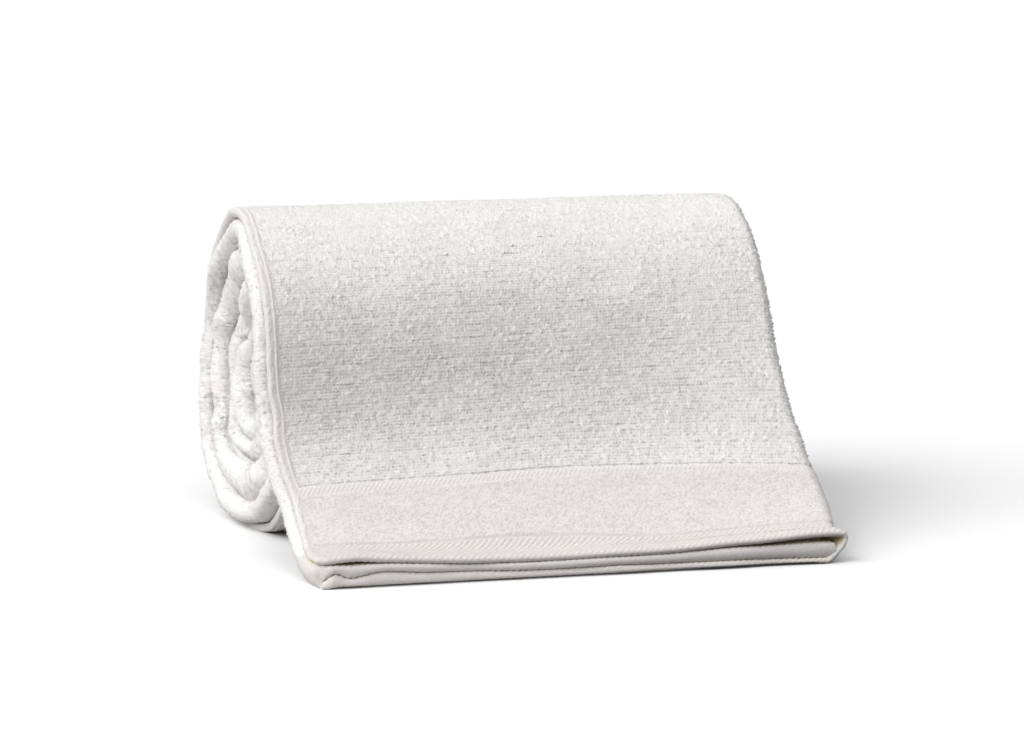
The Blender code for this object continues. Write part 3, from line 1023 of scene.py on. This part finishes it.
def build_towel():
    """All pieces of the towel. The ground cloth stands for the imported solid, and the rest lies on it."""
    tone = cotton_tone_group()
    terry, woven, turned, ground = (cotton(tone, *finish) for finish in FINISHES)
    cloth = keep_piece(ground_cloth(ground))
    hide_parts("towel")
    for piece in outer_pile(terry) + fold_pile(terry):
        keep_piece(piece)
    for piece in [border(woven), selvedge(woven)] + hem(turned):
        keep_piece(piece)


# Camera and studio


def facing(back, right, spot=(0.0, 0.0, 0.0)):
    """Place of a camera or light at that spot, which looks away from `back` with `right` on its right."""
    placed = np.eye(4)
    placed[:3, 0], placed[:3, 1], placed[:3, 2], placed[:3, 3] = right, np.cross(back, right), back, spot
    return Matrix(placed.tolist())


def look_from():
    """The camera: a long lens from the front left and a little above."""
    back = np.array(
        [np.sin(AZIMUTH) * np.cos(ELEVATION), -np.cos(AZIMUTH) * np.cos(ELEVATION), np.sin(ELEVATION)]
    )
    right = np.array([np.cos(AZIMUTH), np.sin(AZIMUTH), 0.0])
    up = np.cross(back, right)
    camera = bpy.data.objects.new("camera", bpy.data.cameras.new("camera"))
    camera.data.lens = LENS
    camera.data.sensor_width = 36.0
    camera.data.clip_end = 50.0
    spot = (np.array(AIM) + DISTANCE * back + ASIDE * right + ABOVE * up) * MM
    camera.matrix_world = facing(back, right, spot)
    bpy.context.scene.collection.objects.link(camera)
    bpy.context.scene.camera = camera


def surroundings():
    """White surroundings, brightest overhead. The camera sees them plain white."""
    world = bpy.data.worlds.new("studio")
    bpy.context.scene.world = world
    world.use_nodes = True
    tree = world.node_tree
    toward = add_node(tree, "ShaderNodeTexCoord")["Generated"]
    rise = add_node(tree, "ShaderNodeSeparateXYZ", {"Vector": toward})["Z"]
    graded = {"Value": rise, "To Min": SKY[0], "To Max": SKY[1]}
    rising = add_node(tree, "ShaderNodeMapRange", graded)["Result"]
    seen = add_node(tree, "ShaderNodeLightPath")["Is Camera Ray"]
    strength = add_node(tree, "ShaderNodeMapRange", {"Value": seen, "To Min": rising, "To Max": SKY_SEEN})
    look = {"Color": (0.985, 0.99, 1.0, 1.0), "Strength": strength["Result"]}
    set_inputs(tree, tree.nodes["Background"], look)


def floor_paper():
    """White paper that throws back less light in front of the towel. The camera sees all of it white."""
    paper = bpy.data.materials.new("floor_paper")
    paper.use_nodes = True
    tree = paper.node_tree
    place = add_node(tree, "ShaderNodeTexCoord")["Object"]
    parts = {
        "Value": add_node(tree, "ShaderNodeSeparateXYZ", {"Vector": place})["Y"],
        "From Min": (FLOOR_FRONT - FLOOR_BLEND) * MM,
        "From Max": (FLOOR_FRONT + FLOOR_BLEND) * MM,
        "To Min": FLOOR_BACK[0],
        "To Max": FLOOR_BACK[1],
    }
    grey = add_node(tree, "ShaderNodeMapRange", parts)["Result"]
    seen = add_node(tree, "ShaderNodeLightPath")["Is Camera Ray"]
    tones = {"Factor": seen, "A": grey, "B": (1.0, 1.0, 1.0, 1.0)}
    tone = add_node(tree, "ShaderNodeMix", tones, data_type="RGBA")["Result"]
    look = {"Base Color": tone, "Roughness": 0.9, "Specular IOR Level": 0.0}
    set_inputs(tree, tree.nodes["Principled BSDF"], look)
    return paper


def studio():
    """White surroundings and a white floor, a wide soft light from the left and one from the front."""
    scene = bpy.context.scene
    scene.view_settings.view_transform = "Standard"
    surroundings()
    side = FLOOR_SIDE
    corners = [(-side, -side, 0), (side, -side, 0), (side, side, 0), (-side, side, 0)]
    floor = bpy.data.meshes.new("floor")
    floor.from_pydata(corners, [], [(0, 1, 2, 3)])
    floor.materials.append(floor_paper())
    ground = bpy.data.objects.new("floor", floor)
    scene.collection.objects.link(ground)
    for name, strength, softness, comes_from in LIGHTS:
        light = bpy.data.lights.new(name, "SUN")
        light.energy = strength
        light.angle = np.radians(softness)
        lamp = bpy.data.objects.new(name, light)
        back = np.array(comes_from) / np.linalg.norm(comes_from)
        right = np.cross((0.0, 0.0, 1.0), back)
        lamp.matrix_world = facing(back, right / np.linalg.norm(right))
        scene.collection.objects.link(lamp)


look_from()
build_towel()
studio()
